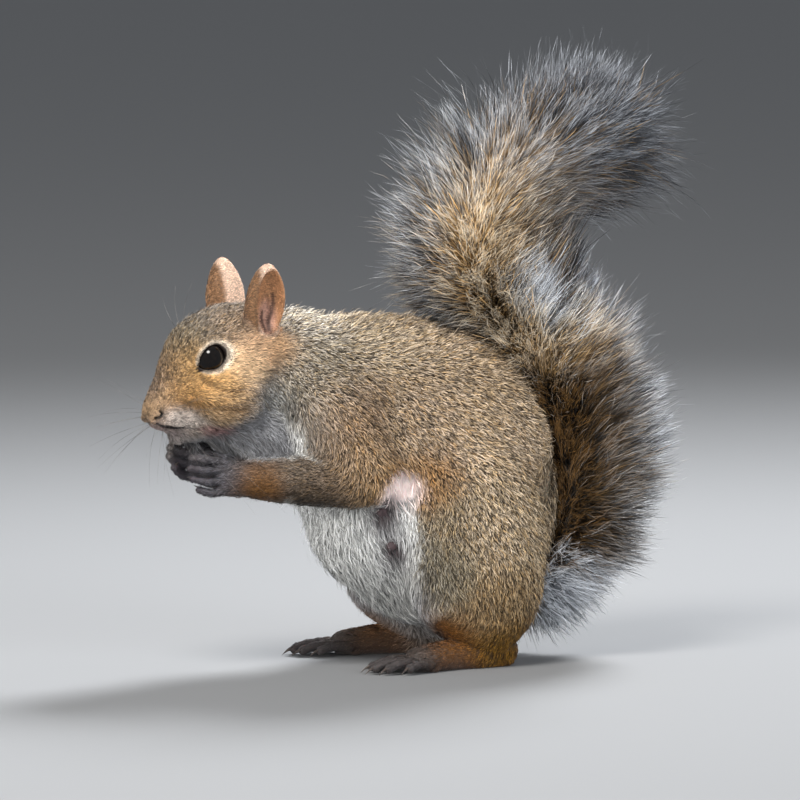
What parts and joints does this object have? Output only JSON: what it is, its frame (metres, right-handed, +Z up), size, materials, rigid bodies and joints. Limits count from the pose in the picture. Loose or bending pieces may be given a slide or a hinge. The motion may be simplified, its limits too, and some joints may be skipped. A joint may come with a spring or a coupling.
{
  "type": "eastern gray squirrel",
  "caption": "Life-size gray squirrel sitting up on its hind feet, forepaws held at its mouth and bushy tail raised behind its back in an S.",
  "frame": {"origin": "middle of the whole animal, tail included, on the floor plane it sits on", "axes": "+Z up; the animal faces -Y, its left side is +X, and its tail rises behind it towards +Y"},
  "size_m": [0.092, 0.2205, 0.2283],
  "materials": {
    "agouti_fur": "dense short coat, each hair banded dark, buff and dark",
    "face_fur": "short orange-tan coat",
    "ear_skin": "thin skin under very short hair",
    "tail_fur": "long coarse brush, brown at the root, black, then white at the tips",
    "foot_fur": "very short ochre hair over skin",
    "paw_skin": "dark grey bare skin with sparse hair",
    "eye": "near-black brown, wet gloss",
    "claw": "dark horn, semi-gloss",
    "nose_skin": "bare tan skin, slightly moist",
    "whisker": "stiff dark bristles"
  },
  "bodies": {
    "root": {"head": "face_fur", "neck": "agouti_fur", "trunk": "agouti_fur", "upper_arm_left": "agouti_fur", "upper_arm_right": "agouti_fur", "forearm_left": "agouti_fur", "forearm_right": "agouti_fur", "forepaw_left": "paw_skin", "forepaw_right": "paw_skin", "thigh_left": "agouti_fur", "thigh_right": "agouti_fur", "hind_foot_left": "foot_fur", "hind_foot_right": "foot_fur", "tail_base": "tail_fur", "tail_middle": "tail_fur", "tail_tip": "tail_fur", "ear_left": "ear_skin", "ear_right": "ear_skin", "eye_left": "eye", "eye_right": "eye"}
  },
  "joints": []
}
